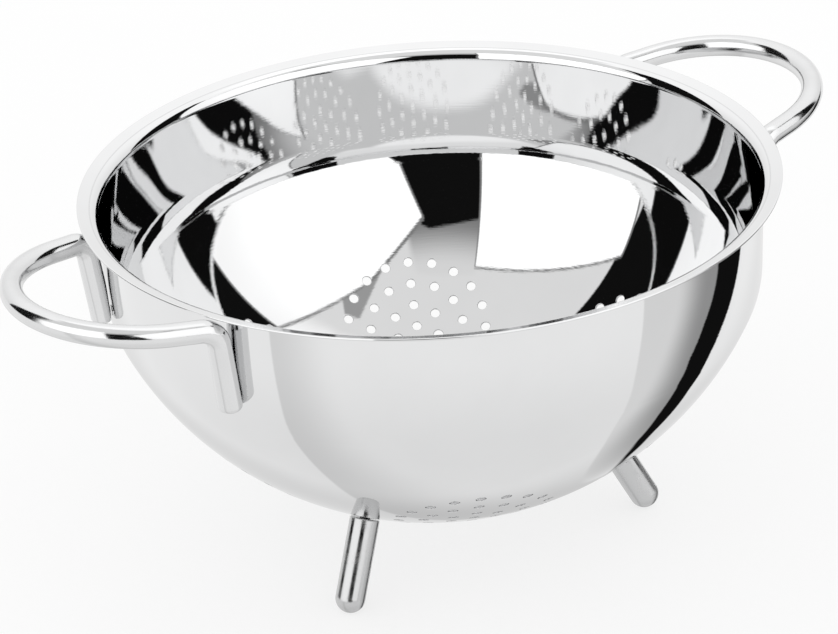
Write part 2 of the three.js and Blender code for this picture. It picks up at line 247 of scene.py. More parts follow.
# %% Join the points into triangles
MERGE_DISTANCE = 1e-5
MOVED_LIMIT = 1e-3
flat_points = np.concatenate([rim_flat, hole_flat, lattice])
first_hole = len(rim_flat)
hole_corner = first_hole + np.arange(len(hole_flat)).reshape(-1, HOLE_SIDES)
rim_corner = np.arange(RIM_SIDES)
outline = np.concatenate([
    np.stack([rim_corner, np.roll(rim_corner, -1)], axis=-1),
    np.stack([hole_corner, np.roll(hole_corner, -1, axis=1)], axis=-1).reshape(-1, 2),
])
joined = delaunay_2d_cdt(flat_points.tolist(), outline.tolist(), [], 0, MERGE_DISTANCE)
disc_points = np.array(joined[0])
disc_triangles = np.array(joined[2])
if len(disc_points) != len(flat_points) or np.abs(disc_points - flat_points).max() > MOVED_LIMIT:
    raise RuntimeError("the triangulation moved or merged points")

hole_number = np.full(len(flat_points), -1)
hole_number[hole_corner] = np.arange(len(hole_point))[:, None]
corner_hole = hole_number[disc_triangles]
in_hole = (corner_hole[:, 0] >= 0) & (corner_hole == corner_hole[:, :1]).all(axis=1)
disc_triangles = disc_triangles[~in_hole]
print(f"{len(disc_triangles)} triangles on the disc after {in_hole.sum()} in the holes were dropped")


# %% Section of shoulder, wall and rim
SHOULDER_STEPS = 10
WALL_STEPS = 8
HOLLOW_STEPS = 10
EDGE_STEPS = 8
BEND_STEPS = 16


def arc(centre, radius, start, stop, steps):
    """Points of a circle round a centre, and the directions from the centre to them."""
    direction = on_circle(np.linspace(start, stop, steps + 1))
    return centre + radius * direction, direction


def upper_section():
    """From the bottom's edge round the outside of the shoulder, up the wall, round the hollow of the bend,
    along under the flange, round its edge, and back down the inside. Normals of a hollow arc point to its
    centre, and those of a round one away from it."""
    bend_start, bend_end = np.pi - WALL_LEAN, np.pi / 2 + FLANGE_RISE
    edge_start, edge_end = FLANGE_RISE - np.pi / 2, FLANGE_RISE + np.pi / 2
    inner_radius = SHOULDER_RADIUS - SHEET
    shoulder, from_shoulder = arc(SHOULDER_CENTRE, SHOULDER_RADIUS, -MEETING, -WALL_LEAN, SHOULDER_STEPS)
    hollow, to_hollow = arc(BEND_CENTRE, BEND_RADIUS - SHEET, bend_start, bend_end, HOLLOW_STEPS)
    edge, from_edge = arc(EDGE_CENTRE, SHEET / 2, edge_start, edge_end, EDGE_STEPS)
    bend, from_bend = arc(BEND_CENTRE, BEND_RADIUS, bend_end, bend_start, BEND_STEPS)
    inner, to_inner = arc(SHOULDER_CENTRE, inner_radius, -WALL_LEAN, -MEETING, SHOULDER_STEPS)
    share = np.linspace(0, 1, WALL_STEPS + 1)[1:-1, None]
    wall = shoulder[-1] + share * (hollow[0] - shoulder[-1])
    inner_wall = bend[-1] + share * (inner[0] - bend[-1])
    facing = np.repeat(WALL_NORMAL[None], len(share), axis=0)
    points = np.concatenate([shoulder[1:], wall, hollow, edge, bend, inner_wall, inner[:-1]])
    normals = np.concatenate([
        from_shoulder[1:], facing, -to_hollow, from_edge, from_bend, -facing, -to_inner[:-1],
    ])
    return points, normals


section, section_normal = upper_section()
section_steps = np.hypot(*np.diff(section, axis=0).T)
section_length = BOTTOM_LENGTH + np.concatenate([[0.0], np.cumsum(section_steps)])

# The inner end of the flange's upper face, where the bend meets it and a thin line of painted shade goes
crease = BEND_CENTRE + BEND_RADIUS * np.array([-math.sin(FLANGE_RISE), math.cos(FLANGE_RISE)])
CREASE_LENGTH = float(section_length[np.hypot(*(section - crease).T).argmin()])


def spun(section_rows):
    """Rows of (radius, height) carried round the axis, as rings of points."""
    ring = section_rows[:, None, :1] * rim_out[None]
    height = np.broadcast_to(section_rows[:, None, 1:], ring.shape[:2] + (1,))
    return np.concatenate([ring, height], axis=-1)


print(len(section), "rings in shoulder, wall and rim")

# %% [markdown]
# The outside is ground and polished from bottom to rim, which takes the crown off the shoulder there, so the
# reflections outside run on without a break. Inside, the mark of the press stays. A second section for the
# outside would make the sheet uneven, so the shape stays as it is and only the outside's normals are eased:
# their angle from straight down goes in one smooth sweep from the bottom to the top of the wall.

# %% Ease the normals of the outside
EASE_BEFORE = 26.0
LENGTH_TOLERANCE = 1e-6
EASE_START = BOTTOM_LENGTH - EASE_BEFORE
EASE_END = BOTTOM_LENGTH + SHOULDER_RADIUS * (MEETING - WALL_LEAN) + np.hypot(*(WALL_TOP - WALL_FOOT))


def eased_angle(length):
    """Angle of the normal from straight down: length over the ball's radius up to the start, and from there
    a cubic that leaves with the same slope and ends level at the wall's angle."""
    reach = EASE_END - EASE_START
    s = np.clip((length - EASE_START) / reach, 0, 1)
    start, stop = EASE_START / BOTTOM_RADIUS, np.pi / 2 - WALL_LEAN
    sweep = start + (stop - start) * (3 - 2 * s) * s ** 2 + reach / BOTTOM_RADIUS * s * (1 - s) ** 2
    return np.where(length < EASE_START, length / BOTTOM_RADIUS, sweep)


outer_rows = section_length <= EASE_END + LENGTH_TOLERANCE
eased = eased_angle(section_length[outer_rows])
section_normal[outer_rows] = np.stack([np.sin(eased), -np.cos(eased)], axis=-1)
print(f"{outer_rows.sum()} rings of the outside eased")

# %% Put the bowl together
bearing, length = bottom_of(flat_points)
outside, true_normal, _, _ = bottom_place(bearing, length)
inside = outside - SHEET * true_normal
eased_bottom = eased_angle(length)
outside_normal = np.stack([
    np.sin(eased_bottom) * np.cos(bearing),
    np.sin(eased_bottom) * np.sin(bearing),
    -np.cos(eased_bottom),
], axis=-1)
throat = [
    hole_point[:, None] + HOLE_RADIUS * hole_side - sunk * hole_normal[:, None]
    for sunk in (HOLE_EDGE, SHEET - HOLE_EDGE)
]
disc_size = len(flat_points)
wall_start = 2 * disc_size
rim_start = wall_start + 2 * hole_corner.size
throat_corner = wall_start + np.arange(2 * hole_corner.size).reshape(2, -1, HOLE_SIDES)
hole_rings = np.stack([hole_corner, throat_corner[0], throat_corner[1], hole_corner + disc_size])
rim_rings = np.concatenate([
    rim_corner[None],
    rim_start + np.arange(len(section) * RIM_SIDES).reshape(-1, RIM_SIDES),
    disc_size + rim_corner[None],
])


def strips(rings):
    """Quads between each ring of corners and the next, the rings being closed along the last axis."""
    following = np.roll(rings, -1, axis=-1)
    return np.stack([rings[:-1], following[:-1], following[1:], rings[1:]], axis=-1).reshape(-1, 4)


bowl_points = np.concatenate([
    outside,
    inside,
    throat[0].reshape(-1, 3),
    throat[1].reshape(-1, 3),
    spun(section).reshape(-1, 3),
])
bowl_normals = np.concatenate([
    outside_normal,
    -true_normal,
    -hole_side.reshape(-1, 3),
    -hole_side.reshape(-1, 3),
    spun(section_normal).reshape(-1, 3),
])
bowl_triangles = np.concatenate([
    disc_triangles,
    disc_triangles + disc_size,
    split_quads(strips(hole_rings)),
    split_quads(strips(rim_rings)),
])
bowl_piece = steel_mesh("pierced_bowl", bowl_points, bowl_normals, bowl_triangles)

# %% [markdown]
# The finish has to know three things of a point. The polisher holds a mop against the turning bowl, so the
# finest marks run round the axis, and drawing them takes the length along the section. The cut edges of the
# holes aren't polished, so they are marked. The upright wall inside leaves the press a little wavy, so how
# squarely a point faces the axis is marked too. All three are stored on the vertices as attributes.

# %% Store what the finish needs
INWARD_START = 0.93
INWARD_BLEND = 0.05


def store(name, values):
    """Keeps one number for each vertex of the bowl."""
    stored = bowl_piece.data.attributes.new(name, "FLOAT", "POINT")
    stored.data.foreach_set("value", values.astype(np.float32))


along_wall = np.concatenate([
    length,
    length,
    np.tile(length[hole_corner].ravel(), 2),
    np.repeat(section_length, RIM_SIDES),
])
cut_edge = np.zeros(len(bowl_points))
cut_edge[wall_start:rim_start] = 1.0
facing_inwards = np.clip((-section_normal[:, 0] - INWARD_START) / INWARD_BLEND, 0, 1)
wall_inside = np.concatenate([np.zeros(rim_start), np.repeat(facing_inwards, RIM_SIDES)])
store("along_wall", along_wall)
store("cut_edge", cut_edge)
store("wall_inside", wall_inside)
print(f"length along the section runs from 0 to {along_wall.max():.1f} mm")

# %% [markdown]
# ## The handles
# Each handle is one length of round rod: up a leg whose lower end is pressed flat and welded to the bowl, a
# tight bend under the rim, round a wide loop and down the other leg. The legs lean out from the wall, so a
# wedge of dark gap shows beside each. A curve with a bevel would be quick, but it can't be pressed flat, so
# the path is a chain of straights and turns. A frame of three directions travels along it and turns with it,
# so that the rod's section never twists.

# %% Sizes of the handles
ROD_RADIUS = 4.0
HANDLE_REACH = 166.9
LOOP_RADIUS = 42.0
LOOP_RISE = math.radians(6.4)
LEG_BEARING = math.radians(20.9)
LEG_LEAN = math.radians(6.4)
LEG_CONTACT_DROP = 33.0
LEG_TAIL = 3.2
LEG_THICKNESS = 7.0
LEG_END_ROUND = 2.0
CORNER_HEIGHT = 133.515
ROD_BEND = 7.0
NIB_RADIUS = 2.0
NIB_HEIGHT = 0.4
CLEARANCE = 0.3
FLAT_OFFSET = 0.25
LEG_WIDENING = 0.13


def leg(side):
    """Seat on the bowl, the way across the leg away from the bowl, the way up along the leg, the lower end
    of the rod's axis and the corner where it turns outwards. The leg leans out from upright, and the corner
    is where its axis reaches the corners' height. side is -1 for the first leg and 1 for the last."""
    out = np.array([math.cos(LEG_BEARING), side * math.sin(LEG_BEARING), 0.0])
    height = RIM_TOP - LEG_CONTACT_DROP
    seat = (WALL_TOP[0] - (WALL_TOP[1] - height) * math.tan(WALL_LEAN)) * out + height * UP
    away = math.cos(LEG_LEAN) * out - math.sin(LEG_LEAN) * UP
    along = math.sin(LEG_LEAN) * out + math.cos(LEG_LEAN) * UP
    on_axis = seat + (FLAT_OFFSET + LEG_THICKNESS - ROD_RADIUS) * away
    corner = on_axis + (CORNER_HEIGHT - on_axis[2]) / along[2] * along
    return seat, away, along, on_axis - LEG_TAIL * along, corner


def wall_facing(seat):
    """The way the wall's outside faces at a seat: mostly outwards, and down by the wall's lean."""
    return WALL_NORMAL[0] * unit(seat * [1.0, 1.0, 0.0]) + WALL_NORMAL[1] * UP


first_leg, last_leg = leg(-1), leg(1)
print("legs end at", np.round(first_leg[3], 2), "and", np.round(last_leg[3], 2))


# %% Straights and turns
END_STEPS = 8
END_FACE_RINGS = (-1.4, -0.6)
LEG_STEPS = 40
ROD_BEND_STEPS = 28
ARM_STEPS = 12
LOOP_STEPS = 160


def turned(vectors, axis, angle):
    """Vectors turned about an axis by angles: the part along the axis stays, and the rest takes cosine of
    the angle of itself and sine of the angle of its cross product with the axis."""
    c, s = np.cos(angle)[..., None], np.sin(angle)[..., None]
    return vectors * c + np.cross(axis, vectors) * s + axis * (vectors @ axis)[..., None] * (1 - c)


def straight(start, directions, along):
    """Points at the given distances along the first direction. The directions stay."""
    points = start + along[:, None] * directions[0]
    return points, np.repeat(directions[None], len(along), axis=0)


def turn(start, directions, axis, radius, angle, steps):
    """Points of a circular turn about an axis, with the directions turning along."""
    share = np.linspace(0, angle, steps + 1)[1:]
    to_centre = np.cross(axis, directions[0])
    points = start + radius * to_centre - radius * turned(to_centre[None], axis, share)
    return points, np.stack([turned(row[None], axis, share) for row in directions], axis=1)


def handle_path():
    """The rod's axis from the end of the first leg to the end of the last, the directions along it, and the
    rod's radius, which grows over a quarter circle at each end and so rounds the leg's end. The arms run
    from the corners to the points where they just touch the loop's circle."""
    _, normal, uphill, end, corner = first_leg
    far_corner, down = last_leg[4], -last_leg[2]
    middle = (corner + far_corner) / 2
    outward = np.array([math.cos(LOOP_RISE), 0.0, math.sin(LOOP_RISE)])
    sideways = np.array([0.0, 1.0, 0.0])
    upright = np.cross(outward, sideways)
    reach = (HANDLE_REACH - ROD_RADIUS - middle[0]) / outward[0]
    half_span = far_corner[1]
    to_corner = math.atan2(half_span, LOOP_RADIUS - reach)
    quarter = to_corner - math.acos(LOOP_RADIUS / math.hypot(half_span, reach - LOOP_RADIUS))
    loop_start = (
        middle + outward * (reach - LOOP_RADIUS)
        + LOOP_RADIUS * (math.cos(quarter) * outward - math.sin(quarter) * sideways)
    )
    arm = unit(loop_start - corner)
    bend = math.acos(float(uphill @ arm))
    setback = ROD_BEND * math.tan(bend / 2)
    leg_length = float(np.linalg.norm(corner - end)) - setback
    arm_length = float(np.linalg.norm(loop_start - corner)) - setback
    arm_in = unit(far_corner - (loop_start + 2 * LOOP_RADIUS * math.sin(quarter) * sideways))
    psi = np.linspace(0, np.pi / 2, END_STEPS + 1)
    end_along = np.concatenate([[0.0, 0.0], LEG_END_ROUND * (1 - np.cos(psi))])
    end_radius = ROD_RADIUS - LEG_END_ROUND + np.concatenate([END_FACE_RINGS, LEG_END_ROUND * np.sin(psi)])
    leg_along = np.concatenate([end_along, np.linspace(LEG_END_ROUND, leg_length, LEG_STEPS + 1)[1:]])
    arm_along = np.linspace(0, arm_length, ARM_STEPS + 1)[1:]
    directions = np.stack([uphill, normal, np.cross(uphill, normal)])
    stretches = [straight(end, directions, leg_along)]

    def carry_on(make, *values):
        """Adds a stretch that starts where the last one ends, in the directions that it ends with."""
        points, turning = stretches[-1]
        stretches.append(make(points[-1], turning[-1], *values))

    carry_on(turn, unit(np.cross(uphill, arm)), ROD_BEND, bend, ROD_BEND_STEPS)
    carry_on(straight, arm_along)
    carry_on(turn, upright, LOOP_RADIUS, 2 * quarter, LOOP_STEPS)
    carry_on(straight, arm_along)
    carry_on(turn, unit(np.cross(arm_in, down)), ROD_BEND, bend, ROD_BEND_STEPS)
    carry_on(straight, leg_length - leg_along[-2::-1])
    points = np.concatenate([p for p, _ in stretches])
    axes = np.concatenate([d for _, d in stretches])
    rod = np.full(len(points), ROD_RADIUS)
    rod[:len(end_radius)] = end_radius
    rod[-len(end_radius):] = end_radius[::-1]
    return points, axes, rod


path, path_axes, rod_radius = handle_path()
print("the path misses the far leg's end by", np.abs(path[-1] - last_leg[3]).max().round(6), "mm")

# %% [markdown]
# The press that flattens a leg's lower end also spreads it, so the end is a little wider than the rod. The
# flat is made by holding the rod's points off a plane parallel to the wall. A hard limit would leave a razor
# edge, so a smooth maximum is used: far from the plane it changes nothing, and at the plane it rounds the
# edge a little. Under the flat sits the small round projection through which the weld is made.

# %% Skin the rod
ROD_SIDES = 48
PRESS_ROUND = 0.25
WIDENED_LENGTH = 26.0
WIDENING_POWER = 0.7


def held_above(height, limit, softness):
    """Smooth maximum of height and limit: half of their sum plus half the root of their squared difference
    and the squared softness."""
    return 0.5 * (height + limit + np.sqrt((height - limit) ** 2 + softness ** 2))


def pressed_flat(points, seat, normal, offset):
    """Points held at least the offset away from the plane through a seat."""
    height = (points - seat) @ normal
    return points + (held_above(height, offset, PRESS_ROUND) - height)[..., None] * normal


def grid_normals(rings, outward):
    """Normals of a grid of rings: cross product of the differences round a ring and from ring to ring,
    turned to the side of the given directions."""
    around = np.roll(rings, -1, axis=1) - np.roll(rings, 1, axis=1)
    along = np.gradient(rings, axis=0)
    normal = unit(np.cross(around, along))
    return np.where(((normal * outward).sum(axis=-1) < 0)[..., None], -normal, normal)


def closed_skin(rings, normals, first_pole, last_pole):
    """Points, normals and triangles of a grid of rings closed at both ends by a fan to a pole. A pole is a
    point with its normal."""
    count, sides = rings.shape[:2]
    corner = np.arange(count * sides).reshape(count, sides)
    points = np.concatenate([rings.reshape(-1, 3), first_pole[0][None], last_pole[0][None]])
    every_normal = np.concatenate([normals.reshape(-1, 3), first_pole[1][None], last_pole[1][None]])
    fans = [
        np.stack([ring, np.roll(ring, -1), np.full(sides, count * sides + k)], axis=-1)
        for k, ring in enumerate((corner[0], corner[-1]))
    ]
    return points, every_normal, np.concatenate([split_quads(strips(corner)), *fans])


round_turn = np.arange(ROD_SIDES) / ROD_SIDES * 2 * np.pi
half = len(path) // 2
along_rod = np.concatenate([[0.0], np.cumsum(np.linalg.norm(np.diff(path, axis=0), axis=1))])
from_end = np.minimum(along_rod, along_rod[-1] - along_rod)
widened = 1 + LEG_WIDENING * np.clip(1 - from_end / WIDENED_LENGTH, 0, 1) ** WIDENING_POWER
spread = (
    np.cos(round_turn)[None, :, None] * path_axes[:, None, 1]
    + (widened[:, None] * np.sin(round_turn))[..., None] * path_axes[:, None, 2]
)
rings = path[:, None] + rod_radius[:, None, None] * spread
rings[:half] = pressed_flat(rings[:half], first_leg[0], wall_facing(first_leg[0]), FLAT_OFFSET)
rings[half:] = pressed_flat(rings[half:], last_leg[0], wall_facing(last_leg[0]), FLAT_OFFSET)
rod_skin = closed_skin(
    rings,
    grid_normals(rings, spread),
    (rings[0].mean(axis=0), -path_axes[0, 0]),
    (rings[-1].mean(axis=0), path_axes[-1, 0]),
)
print("rod skin:", len(rod_skin[0]), "points")


# %% Weld projections
HANDLE_BEARINGS = {"rod_handle_right": 0.0, "rod_handle_left": 180.0}
NIB_GAP = 0.05
NIB_EDGE = 0.05
NIB_EDGE_STEPS = 4
NIB_SIDES = 24
NEARLY_ALONG = 0.9


def lathe(profile, origin, axis, sides):
    """A profile of (radius, height) carried round an axis through an origin, closed at both ends. Normals
    are the profile's own direction, turned a quarter and carried round with it."""
    helper = np.array([1.0, 0.0, 0.0]) if abs(axis[0]) < NEARLY_ALONG else np.array([0.0, 1.0, 0.0])
    across = unit(np.cross(axis, helper))
    angle = np.arange(sides) / sides * 2 * np.pi
    out = np.cos(angle)[:, None] * across + np.sin(angle)[:, None] * np.cross(axis, across)
    rings = origin + profile[:, None, :1] * out[None] + profile[:, None, 1:] * axis
    run = unit(np.gradient(profile, axis=0))
    normals = run[:, None, 1:] * out[None] - run[:, None, :1] * axis
    poles = [(origin + profile[k, 1] * axis, sign * axis) for k, sign in ((0, -1.0), (-1, 1.0))]
    return closed_skin(rings, normals, *poles)


def rounded_disc(radius, low, high, edge):
    """Profile of a short post: across its lower face, up its side and across its upper face, with both
    edges rounded by a quarter circle."""
    upper, _ = arc(np.array([radius - edge, high - edge]), edge, 0, np.pi / 2, NIB_EDGE_STEPS)
    lower, _ = arc(np.array([radius - edge, low + edge]), edge, -np.pi / 2, 0, NIB_EDGE_STEPS)
    return np.concatenate([[[radius / 2, low]], lower, upper, [[radius / 2, high]]])


def joined_skins(skins):
    """Several closed skins as one list of points, normals and triangles."""
    start = np.cumsum([0, *[len(s[0]) for s in skins[:-1]]])
    return (
        np.concatenate([s[0] for s in skins]),
        np.concatenate([s[1] for s in skins]),
        np.concatenate([s[2] + k for s, k in zip(skins, start)]),
    )


nib_profile = rounded_disc(NIB_RADIUS, NIB_GAP, FLAT_OFFSET + LEG_END_ROUND, NIB_EDGE)
nibs = [lathe(nib_profile, seat, wall_facing(seat), NIB_SIDES) for seat, *_ in (first_leg, last_leg)]
handle_skin = joined_skins([rod_skin, *nibs])


def about_axis(vectors, angle):
    """Vectors turned about the bowl's axis."""
    return turned(vectors, UP, np.full(vectors.shape[:-1], angle))


def turned_copies(skin, bearings):
    """Meshes of one skin, each turned about the bowl's axis to the bearing in degrees under its name."""
    points, normals, triangles = skin
    pieces = []
    for name, degrees in bearings.items():
        angle = math.radians(degrees)
        pieces.append(steel_mesh(name, about_axis(points, angle), about_axis(normals, angle), triangles))
    return pieces


handle_pieces = turned_copies(handle_skin, HANDLE_BEARINGS)
print("a handle's projections stand", NIB_GAP, "mm off the wall")

# %% [markdown]
# ## The feet
# A foot is a short peg that stands square to the bowl, so the three splay outwards. The tip is a half ball,
# worn flat where it meets the table. A cylinder with a ball on its end would show a seam in the polish, so
# the peg is one profile turned about its own axis, and the flat is made with the same smooth maximum as the
# legs' flats.

# %% Turn the feet
FOOT_RADIUS = 5.4
FOOT_DISTANCE = 58.9
FOOT_BEARINGS = {"peg_foot_back": 87.0, "peg_foot_left": 207.0, "peg_foot_right": 327.0}
FOOT_FLAT = 0.3
FOOT_EDGE = 0.6
TABLE_ROUND = 0.08
WORN_NORMAL = np.array([0.2, 0.2, 1.0])
TIP_STEPS = 24
SIDE_STEPS = 12
FOOT_EDGE_STEPS = 6
FOOT_SIDES = 48

# Steps outwards and upwards round the lower and the upper edge of the weld projection
NIB_FOOT = np.array([[0.5, 0.0], [0.15, 0.02], [0.0, 0.12]])
NIB_HEAD = np.array([[0.0, -0.12], [-0.15, -0.01], [-NIB_RADIUS / 2, 0.0]])


def foot_profile(top):
    """From the tip of the half ball, up the side, over the rounded edge and up the weld projection."""
    tip, _ = arc(np.zeros(2), FOOT_RADIUS, -np.pi / 2, 0, TIP_STEPS)
    heights = np.linspace(0, top - FOOT_EDGE, SIDE_STEPS + 1)
    side = np.stack([np.full_like(heights, FOOT_RADIUS), heights], axis=-1)
    edge_centre = np.array([FOOT_RADIUS - FOOT_EDGE, top - FOOT_EDGE])
    edge, _ = arc(edge_centre, FOOT_EDGE, 0, np.pi / 2, FOOT_EDGE_STEPS)
    nib = np.concatenate([[NIB_RADIUS, top] + NIB_FOOT, [NIB_RADIUS, top + NIB_HEIGHT] + NIB_HEAD])
    return np.concatenate([tip[1:], side[1:], edge[1:], nib])


foot_length = BOTTOM_RADIUS * np.arcsin(FOOT_DISTANCE / BOTTOM_RADIUS)
foot_seat, foot_out, _, _ = bottom_place(np.array(0.0), np.array(foot_length))
tip_drop = foot_seat[2] - (FOOT_RADIUS - FOOT_FLAT)
tip_centre = foot_seat - tip_drop / foot_out[2] * foot_out
foot_top = np.linalg.norm(tip_centre - foot_seat) - CLEARANCE - NIB_HEIGHT
foot_points, foot_normals, foot_triangles = lathe(
    foot_profile(foot_top), tip_centre, -foot_out, FOOT_SIDES,
)
worn = foot_points[:, 2] < TABLE_ROUND
foot_normals[worn] = unit(foot_normals[worn] * WORN_NORMAL)
foot_points[:, 2] = held_above(foot_points[:, 2], 0.0, TABLE_ROUND)
foot_pieces = turned_copies((foot_points, foot_normals, foot_triangles), FOOT_BEARINGS)
splay = math.degrees(math.acos(-foot_out[2]))
print(f"feet stand {foot_top + FOOT_RADIUS:.1f} mm long at {splay:.1f} degrees")

# %% [markdown]
# ## Polished steel
# A mirror finish is a metal with almost no roughness. What tells it from chrome plate are the traces of
# polishing: lines far finer than a hair that fray the edges of reflections, and a faint unevenness of the
# pressed sheet that makes them wander. Both are bumps, driven by noise: the lines are drawn out round the
# axis, and the unevenness is broad, the same all ways and strongest on the wall inside. The cut edges of the
# holes are duller. A thin line at the flange's inner end is painted darker, as painted shade, and made
# rougher.
# Rods and pegs are polished less, so they blur more and return less light.

# %% Nodes for a finish
def new_tree(material):
    """Clears a material's nodes and returns its tree with a shader joined to the output."""
    material.use_nodes = True
    tree = material.node_tree
    tree.nodes.clear()
    output = tree.nodes.new("ShaderNodeOutputMaterial")
    shader = tree.nodes.new("ShaderNodeBsdfPrincipled")
    tree.links.new(shader.outputs["BSDF"], output.inputs["Surface"])
    return tree, shader


def feed(tree, made, inputs):
    """Gives a node's inputs, by name or number, their values or the sockets to join."""
    for key, value in dict(inputs).items():
        if isinstance(value, bpy.types.NodeSocket):
            tree.links.new(value, made.inputs[key])
        else:
            made.inputs[key].default_value = value


def node(tree, kind, inputs=(), **settings):
    """A node with its settings and its inputs."""
    made = tree.nodes.new(kind)
    for key, value in settings.items():
        setattr(made, key, value)
    feed(tree, made, inputs)
    return made


def math_node(tree, operation, *values):
    """Result of a Math node with the values or sockets as its inputs."""
    return node(tree, "ShaderNodeMath", enumerate(values), operation=operation).outputs[0]


def noise(tree, vector, scale, detail=2.0, roughness=0.5):
    """Value of a noise texture at a vector socket."""
    inputs = {"Vector": vector, "Scale": scale, "Detail": detail, "Roughness": roughness}
    return node(tree, "ShaderNodeTexNoise", inputs).outputs["Fac"]


def spread_over(tree, value, low, high, to_low, to_high):
    """A value mapped from one range to another, smoothly and without going past the ends."""
    inputs = {"Value": value, "From Min": low, "From Max": high, "To Min": to_low, "To Max": to_high}
    return node(tree, "ShaderNodeMapRange", inputs, interpolation_type="SMOOTHSTEP").outputs["Result"]


# %% Steel of the bowl
SHEET_LEVELS = (0.745, 0.78)
COOLER_GREEN = 0.002
COOLER_BLUE = 0.005
MIRROR_ROUGHNESS = (0.004, 0.016)
HAZE_SCALE = 55.0
HAZE_RANGE = (0.3, 0.75)
LINES_ROUND = 9.0
LINES_ALONG = 1.4
LINE_STRENGTH = 0.012
LINE_DEPTH = 0.0004
WAVE_SCALE = 26.0
WAVE_STRENGTH = 0.02
WALL_WAVES = 0.42
WAVE_DEPTH = 0.001
# Darker tint for the unpolished cut edges of the holes, also used for the painted shade at the flange's
# crease
CUT_EDGE_AND_CREASE_SHADE_STEEL = (0.5, 0.5, 0.505, 1.0)
CUT_ROUGHNESS = 0.3
# Width and depth of the painted shade at the flange's crease, which also makes that line rougher
CREASE_EDGES = (0.1, 0.4)
CREASE_SHADE_AND_DULLNESS = 0.4


def steel_tint(tree, value, levels):
    """Reflectance of steel between two levels, a touch cooler than grey: the share of the light that one
    bounce returns. It is about three quarters for a mirror finish."""
    dim, bright = ((k, k + COOLER_GREEN, k + COOLER_BLUE, 1.0) for k in levels)
    inputs = {"Factor": value, 6: dim, 7: bright}
    return node(tree, "ShaderNodeMix", inputs, data_type="RGBA").outputs[2]


def bowl_steel():
    """Mirror finish whose polishing lines run round the axis: noise on the unit circle of the bearing,
    drawn out by a large scale along the wall."""
    material = bpy.data.materials.new("mirror_polished_sheet")
    tree, shader = new_tree(material)
    place = node(tree, "ShaderNodeTexCoord").outputs["Object"]
    x, y, _ = node(tree, "ShaderNodeSeparateXYZ", {0: place}).outputs
    along = node(tree, "ShaderNodeAttribute", attribute_name="along_wall").outputs["Fac"]
    flat = node(tree, "ShaderNodeCombineXYZ", {0: x, 1: y}).outputs[0]
    circle = node(tree, "ShaderNodeVectorMath", {0: flat}, operation="NORMALIZE").outputs[0]
    cx, cy, _ = node(tree, "ShaderNodeSeparateXYZ", {0: circle}).outputs
    lines_at = node(tree, "ShaderNodeCombineXYZ", {
        0: math_node(tree, "MULTIPLY", cx, LINES_ROUND),
        1: math_node(tree, "MULTIPLY", cy, LINES_ROUND),
        2: math_node(tree, "MULTIPLY", along, LINES_ALONG),
    }).outputs[0]
    lines = noise(tree, lines_at, 1.0, detail=3.0, roughness=0.7)
    waves = noise(tree, place, WAVE_SCALE, detail=0.5)
    haze = noise(tree, place, HAZE_SCALE, detail=3.0)
    cut = node(tree, "ShaderNodeAttribute", attribute_name="cut_edge").outputs["Fac"]
    # A thin band at the flange's crease is painted towards the darker tint, as painted shade, and made
    # rougher
    from_crease = math_node(tree, "ABSOLUTE", math_node(tree, "SUBTRACT", along, CREASE_LENGTH))
    crease_painted_shade = spread_over(tree, from_crease, *CREASE_EDGES, CREASE_SHADE_AND_DULLNESS, 0.0)
    dull_edge_and_crease_shade = math_node(tree, "MAXIMUM", cut, crease_painted_shade)
    inputs = {"Factor": dull_edge_and_crease_shade, 6: steel_tint(tree, haze, SHEET_LEVELS), 7: CUT_EDGE_AND_CREASE_SHADE_STEEL}
    tint = node(tree, "ShaderNodeMix", inputs, data_type="RGBA").outputs[2]
    mirror = spread_over(tree, haze, *HAZE_RANGE, *MIRROR_ROUGHNESS)
    rough = math_node(tree, "MULTIPLY_ADD", dull_edge_and_crease_shade, CUT_ROUGHNESS, mirror)
    inputs = {"Strength": LINE_STRENGTH, "Distance": LINE_DEPTH, "Height": lines}
    fine = node(tree, "ShaderNodeBump", inputs).outputs["Normal"]
    wall = node(tree, "ShaderNodeAttribute", attribute_name="wall_inside").outputs["Fac"]
    depth = math_node(tree, "MULTIPLY_ADD", wall, WALL_WAVES, WAVE_STRENGTH)
    inputs = {"Strength": depth, "Distance": WAVE_DEPTH, "Height": waves, "Normal": fine}
    broad = node(tree, "ShaderNodeBump", inputs).outputs["Normal"]
    feed(tree, shader, {"Base Color": tint, "Metallic": 1.0, "Roughness": rough, "Normal": broad})
    return material


# %% Steel of the rods
ROD_LOOK = {"levels": (0.68, 0.74), "roughness": 0.08, "grain": 900.0}
PEG_LOOK = {"levels": (0.5, 0.57), "roughness": 0.15, "grain": 700.0}
ROD_HAZE_SCALE = 120.0
HAZIEST = 2.2
GRAIN_STRENGTH = 0.03
GRAIN_DEPTH = 0.0003


def rod_steel(name, levels, roughness, grain):
    """Polished rod: fine unevenness all ways, and a little haze that varies from place to place."""
    material = bpy.data.materials.new(name)
    tree, shader = new_tree(material)
    place = node(tree, "ShaderNodeTexCoord").outputs["Object"]
    grains = noise(tree, place, grain, detail=3.0, roughness=0.6)
    haze = noise(tree, place, ROD_HAZE_SCALE, detail=2.0)
    tint = steel_tint(tree, haze, levels)
    rough = spread_over(tree, haze, *HAZE_RANGE, roughness, HAZIEST * roughness)
    inputs = {"Strength": GRAIN_STRENGTH, "Distance": GRAIN_DEPTH, "Height": grains}
    bump = node(tree, "ShaderNodeBump", inputs).outputs["Normal"]
    feed(tree, shader, {"Base Color": tint, "Metallic": 1.0, "Roughness": rough, "Normal": bump})
    return material


# %% Dress and place the pieces
def settle(piece, material, solid):
    """Gives a piece its finish, ties it to the body and lets it stand in for its solid."""
    piece.data.materials.append(material)
    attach(piece, "root")
    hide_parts(solid)


